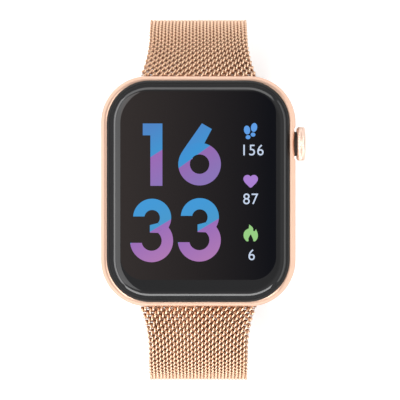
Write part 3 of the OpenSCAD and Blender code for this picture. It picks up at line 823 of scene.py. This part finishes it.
class WATCH_OT_digits(bpy.types.Operator):
    """Draw the large figures of the time"""

    bl_idname = "watch.digits"
    bl_label = "Time"

    def execute(self, context):
        bm = bmesh.new()
        stroke_shape(bm, [(-9.26, 1.03), (-6.94, 1.03), (-6.94, 13.08), (-10.73, 13.08),
                          (-10.73, 10.79), (-9.26, 10.79)])
        lit_piece("digit_hour_tens", bm, digit_ink(
            "lit_display_hour_tens", (-8.1, 7.3, 0.64), 1.0, 13.1,
            ("8c72b8", "9a68b4", "3f94d0", "4c84c6")))
        bm = bmesh.new()
        stroke_arc(bm, (0.25, 5.22), 1.88, 4.12, 0, 360)
        stroke_shape(bm, [(-3.55, 6.7), (-1.15, 6.4), (1.1, 9.1), (2.62, 12.0), (0.7, 13.11),
                          (-2.85, 8.05)])
        stroke_shape(bm, [(-3.72, 6.35), (-3.3, 5.6), (-1.1, 6.2), (-1.2, 8.2), (-3.1, 7.6)])
        lit_piece("digit_hour_units", bm, digit_ink(
            "lit_display_hour_units", (-1.0, 6.45, 0.72), 1.0, 13.1,
            ("8a72b6", "9468b2", "3d94d2", "4c86ca")))
        for name, x, y in (("digit_minute_tens", -9.03, -9.57),
                           ("digit_minute_units", 0.19, -9.45)):
            bm = bmesh.new()
            three(bm, x, y)
            lit_piece(name, bm, digit_ink(
                "lit_display_" + name, (x + 1.6, y + 2.85, 0.6), y - 4.16, y + 8.1,
                ("ae78b4", "9a6cb8", "4698cc", "4098d6")))
        return {"FINISHED"}


def flat_mesh(name, curve):
    """The filled outline of a text or flat curve, as a bmesh."""
    drawn = bpy.data.objects.new(name, curve)
    bpy.context.scene.collection.objects.link(drawn)
    bpy.context.view_layer.update()
    depsgraph = bpy.context.evaluated_depsgraph_get()
    mesh = bpy.data.meshes.new_from_object(drawn.evaluated_get(depsgraph))
    bm = bmesh.new()
    bm.from_mesh(mesh)
    bpy.data.objects.remove(drawn)
    bpy.data.meshes.remove(mesh)
    bmesh.ops.remove_doubles(bm, verts=bm.verts[:], dist=1e-5)
    return bm


def reading(name, words, centre, material):
    """Small figures set in the plain built-in face, all of one height."""
    height = 2.1
    curve = bpy.data.curves.new(name, "FONT")
    curve.body = words
    curve.align_x = "CENTER"
    curve.size = height / 0.72
    curve.space_character = 1.08
    curve.resolution_u = 6
    bm = flat_mesh(name + "_letters", curve)
    low = min(v.co.y for v in bm.verts)
    high = max(v.co.y for v in bm.verts)
    growth = height / (high - low)
    bmesh.ops.scale(bm, verts=bm.verts[:], vec=(1, growth, 1))
    bmesh.ops.translate(
        bm, verts=bm.verts[:],
        vec=(centre[0], centre[1] - height / 2 - low * growth, 0))
    lit_piece(name, bm, material)


def flame():
    """The outline of a flame: smooth but for its tip and the corners between tongues."""
    outline = [(9.85, -6.42), (10.55, -7.1), (10.75, -7.75), (11.15, -7.35), (11.5, -8.35),
               (11.35, -9.25), (10.75, -9.7), (10.55, -9.2), (10.15, -8.3), (9.7, -9.1),
               (9.6, -9.7), (9.0, -9.3), (8.75, -8.4), (9.1, -7.6), (9.75, -7.2)]
    corners = (0, 3, 8, 14)
    curve = bpy.data.curves.new("flame_outline", "CURVE")
    curve.dimensions, curve.fill_mode, curve.resolution_u = "2D", "BOTH", 8
    spline = curve.splines.new("BEZIER")
    spline.bezier_points.add(len(outline) - 1)
    for i, (x, y) in enumerate(outline):
        point = spline.bezier_points[i]
        point.co = (x, y, 0)
        handle = "VECTOR" if i in corners else "AUTO"
        point.handle_left_type = point.handle_right_type = handle
    spline.use_cyclic_u = True
    return flat_mesh("flame_outline", curve)


class WATCH_OT_readings(bpy.types.Operator):
    """Draw the small readings and their signs"""

    bl_idname = "watch.readings"
    bl_label = "Readings"

    def execute(self, context):
        pale = lit_ink("lit_display_readings", tuple(context.scene.watch_colours.small_text))
        reading("reading_steps", "156", (10.42, 7.95), pale)
        reading("reading_pulse", "87", (10.1, -1.49), pale)
        reading("reading_energy", "6", (10.3, -12.3), pale)
        bm = bmesh.new()
        for x, y, lean in ((9.48, 11.4, 8), (10.72, 11.9, -8)):
            turn = Matrix.Rotation(math.radians(lean), 2)
            for along, size in ((0.42, (0.6, 0.86)), (-0.98, (0.46, 0.4))):
                spot = Vector((x, y)) + turn @ Vector((0, along))
                round_spot(bm, spot, size, lean)
        lit_piece("sign_steps", bm, lit_ink("lit_display_steps", linear("5f9ee6")))
        bm = bmesh.new()
        for side in (-1, 1):
            round_spot(bm, (10.12 + side * 0.63, 2.36), (0.78, 0.78))
        stroke_shape(bm, [(8.78, 2.05), (9.05, 1.6), (9.9, 0.75), (10.12, 0.66), (10.34, 0.75),
                          (11.19, 1.6), (11.46, 2.05), (10.9, 2.6), (10.12, 2.7), (9.3, 2.6)])
        lit_piece("sign_pulse", bm, lit_ink("lit_display_pulse", linear("a97fd0")))
        lit_piece("sign_energy", flame(), lit_ink("lit_display_energy", linear("96cd82")))
        return {"FINISHED"}


# ---------------------------------------------------------------- finishes


def give(material, *nodes):
    """Puts a material on CAD nodes."""
    for name in nodes:
        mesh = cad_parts[name].data
        mesh.materials.clear()
        mesh.materials.append(material)


class WATCH_OT_finishes(bpy.types.Operator):
    """Give every solid of the model its material"""

    bl_idname = "watch.finishes"
    bl_label = "Finishes"

    def execute(self, context):
        colours = context.scene.watch_colours
        # Blasted and anodised aluminium: soft, wide highlights.
        give(metal("anodised_gold_aluminium", tuple(colours.gold), 0.32, 0.12, 0.03),
             "case_body")
        # Vapour coated steel, brushed along the wrist: a little sharper, with fine streaks.
        steel = tuple(colours.gold_steel)
        give(metal("brushed_gold_coated_steel", steel, 0.28, 0.6, 0.05, (0.08, 1, 1), 0.12),
             "upper_adapter", "lower_adapter", "loop_ring", "clasp_shell")
        # The same steel turned on a lathe: finer, so brighter where it curves.
        give(metal("turned_gold_coated_steel", steel, 0.24, 0.2), "upper_ferrule",
             "lower_ferrule", "upper_button", "lower_button")
        # Polished glass printed black behind: sharp reflections over a near black face, with a
        # painted reflection that lightens the display towards the left.
        left, right = (-14 * MM, linear("2a2524")), (14 * MM, linear("06070d"))
        half_x, half_y, centre_y, corner = 15.05 * MM, 18.25 * MM, 1.1 * MM, 4.5 * MM
        give(cover_glass_material(
            "black_backed_cover_glass", left, right, half_x, half_y, centre_y, corner,
            face_level() - 0.75 * MM), "cover_glass")
        # Moulded rubber: dull black with no sharp highlight.
        give(plastic("black_gasket_rubber", linear("0a0a0a"), 0.7), "glass_gasket",
             "rear_gasket", "crown_seals")
        # Laminated display glass: a smooth black sheet.
        give(plastic("display_panel_glass", linear("08080a"), 0.1, bump=0.0),
             "display_panel")
        give(spring_steel(), "display_plate", "motor_springs", "latch_springs",
             "switch_dome", "crown_clip", "shield_can")
        # Polyimide film: a warm, half glossy brown.
        give(plastic("amber_flex_film", linear("a8682c"), 0.35), "display_flex")
        # Milled aluminium: pale grey with a fine even tool grain.
        give(metal("machined_aluminium", linear("bcbdc0"), 0.4, 0.25, 0.08), "mid_frame",
             "motor_case", "motor_cover", "crown_bracket")
        # Zinc plated steel: slightly darker grey and fine grained.
        give(metal("zinc_plated_screw_steel", linear("a9aaad"), 0.3, 0.1, 0.05),
             "frame_screws", "board_screws", "bracket_screws")
        # Foil pouch under a black film: half glossy with shallow wide ripples.
        give(plastic("battery_foil_pouch", linear("26262a"), 0.32, 1.2, 0.1), "battery")
        # Solder mask over copper: deep green with a varnish-like shine.
        give(plastic("green_solder_mask", linear("0f4a33"), 0.35, 0.5), "main_board",
             "sensor_board", "crown_encoder")
        # Moulded black plastic and resin: a dark satin surface.
        give(plastic("black_moulded_plastic", linear("17171a"), 0.45), "board_chips",
             "speaker", "photodiodes", "light_baffle", "crown_switch", "ferrite_sheet")
        # Wound copper wire in clear enamel: orange with a strand-fine relief.
        give(metal("enamelled_copper_wire", linear("c9733f"), 0.3, 0.08, 0.15), "motor_coil",
             "charging_coil")
        # Pressed and sintered metal powder: dark grey, dull and grainy.
        give(metal("sintered_tungsten", linear("6d6d70"), 0.45, 0.1, 0.1), "motor_mass",
             "clasp_magnets")
        # Polished zirconia: deep black with mirror-like highlights.
        give(plastic("polished_black_ceramic", linear("0c0c0e"), 0.08, 0.4, 0.0, 0.1),
             "rear_cover")
        give(sensor_crystal(), "sensor_window")
        # Cast epoxy lenses: a pale green, smooth and glossy.
        give(plastic("clear_led_epoxy", linear("9fd08f"), 0.15), "sensor_leds")
        # Ground and polished steel: the brightest and sharpest metal of the watch.
        give(metal("polished_steel_pin", linear("d2d2d4"), 0.12, 0.2, 0.02), "crown_shaft",
             "upper_lug_pin", "lower_lug_pin", "upper_latch", "lower_latch", "clasp_cover")
        # Turned brass: a yellow metal with a fine grain.
        give(metal("turned_brass_bush", linear("c9a35a"), 0.25, 0.2), "crown_tube")
        # Machined acetal: milky white and waxy.
        give(plastic("natural_acetal", linear("e2e0d8"), 0.4), "crown_follower")
        for name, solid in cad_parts.items():
            if not solid.data.materials or solid.data.materials[0].name.split(".")[0] in (
                    "case", "body"):
                raise RuntimeError("no finish on " + name)
        return {"FINISHED"}


# ---------------------------------------------------------------- stage


FLOOR_GAP = 0.05 * MM  # between the floor and the lowest point
CAMERA_HEIGHT = 0.35  # above the glass
CAMERA_ASIDE = (0.33 * MM, -1.71 * MM)


def softbox(name, place, size, glow):
    """A soft rectangular light that faces the watch."""
    light = bpy.data.lights.new(name, "AREA")
    light.shape, light.size, light.size_y = "RECTANGLE", size[0], size[1]
    light.energy = glow * math.pi * size[0] * size[1]
    made = bpy.data.objects.new(name, light)
    bpy.context.scene.collection.objects.link(made)
    made.location = place
    made.rotation_euler = (-Vector(place)).to_track_quat("-Z", "Y").to_euler()


def studio_sky(scene):
    """A dim room that is pale near the horizon and dark overhead."""
    world = bpy.data.worlds.new("studio")
    scene.world = world
    world.use_nodes = True
    sky = world.node_tree
    way = node(sky, "ShaderNodeTexCoord")
    axes = node(sky, "ShaderNodeSeparateXYZ", {"Vector": way.outputs["Generated"]})
    greys = ((0.05, 0.85), (0.12, 0.3), (0.7, 0.45), (0.92, 0.1))
    fall = ramp_between(
        sky, axes.outputs["Z"], [(height, (grey, grey, grey)) for height, grey in greys])
    sky.links.new(fall.outputs[0], sky.nodes["Background"].inputs["Color"])


class WATCH_OT_stage(bpy.types.Operator):
    """Set the floor, the lights and the camera"""

    bl_idname = "watch.stage"
    bl_label = "Stage"

    def execute(self, context):
        scene = context.scene
        low, high = CAD_BOX
        bm = bmesh.new()
        bmesh.ops.create_grid(bm, x_segments=8, y_segments=8, size=1.5)
        bmesh.ops.translate(bm, verts=bm.verts[:], vec=(0, 0, low[2] - FLOOR_GAP))
        # Matt white paper: an even pale ground that shows soft shadows only.
        paper, _, _ = start_material(
            "matte_white_paper", Roughness=0.9, Base_Color=(*linear("f6f6f6"), 1),
            Emission_Color=(1, 1, 1, 1), Emission_Strength=0.2)
        floor = piece("floor", bm, paper, smooth=False)
        studio_sky(scene)
        # (name, degrees from straight up, towards, length and width in metres, brightness)
        for name, lean, towards, size, glow in (
                ("strip_left", 50, (-1, 0), (1.5, 0.25), 4.8),
                ("panel_left", 25, (-1, 0), (1.2, 0.5), 2.0),
                ("strip_right", 76, (1, 0), (1.5, 0.3), 1.4),
                ("strip_bottom", 56, (0, -1), (1.5, 0.28), 6.2),
                ("strip_top", 48, (0, 1), (1.5, 0.3), 2.5)):
            out, up = math.sin(math.radians(lean)), math.cos(math.radians(lean))
            softbox(name, (towards[0] * out, towards[1] * out, up), size, glow)
        camera = bpy.data.objects.new("camera", bpy.data.cameras.new("camera"))
        scene.collection.objects.link(camera)
        camera.data.lens, camera.data.sensor_width = 163, 36
        camera.data.clip_start = 0.01
        camera.location = (CAMERA_ASIDE[0], CAMERA_ASIDE[1], high[2] + CAMERA_HEIGHT)
        camera.rotation_euler = (0, 0, 0)
        scene.camera = camera
        scene.view_settings.view_transform = "Standard"
        return {"FINISHED"}


# ---------------------------------------------------------------- add-on


class WATCH_PT_panel(bpy.types.Panel):
    """Lists the steps that build the watch"""

    bl_idname = "WATCH_PT_panel"
    bl_label = "Smartwatch"
    bl_space_type = "VIEW_3D"
    bl_region_type = "UI"
    bl_category = "Watch"

    def draw(self, context):
        for group in (context.scene.watch_strap, context.scene.watch_colours):
            for key in group.bl_rna.properties.keys():
                if key not in ("rna_type", "name"):
                    self.layout.prop(group, key)
        for step in STEPS:
            self.layout.operator(step.bl_idname)


STEPS = (WATCH_OT_stage, WATCH_OT_finishes, WATCH_OT_straps, WATCH_OT_crown,
         WATCH_OT_springs, WATCH_OT_digits, WATCH_OT_readings)
CLASSES = (WatchStrapSizes, WatchColours, *STEPS, WATCH_PT_panel)


def register():
    for item in CLASSES:
        bpy.utils.register_class(item)
    bpy.types.Scene.watch_strap = bpy.props.PointerProperty(type=WatchStrapSizes)
    bpy.types.Scene.watch_colours = bpy.props.PointerProperty(type=WatchColours)


def unregister():
    del bpy.types.Scene.watch_colours
    del bpy.types.Scene.watch_strap
    for item in reversed(CLASSES):
        bpy.utils.unregister_class(item)


def main():
    register()
    for step in STEPS:
        group, name = step.bl_idname.split(".")
        if getattr(getattr(bpy.ops, group), name)() != {"FINISHED"}:
            raise RuntimeError("did not finish: " + step.bl_label)


if __name__ == "__main__":
    main()
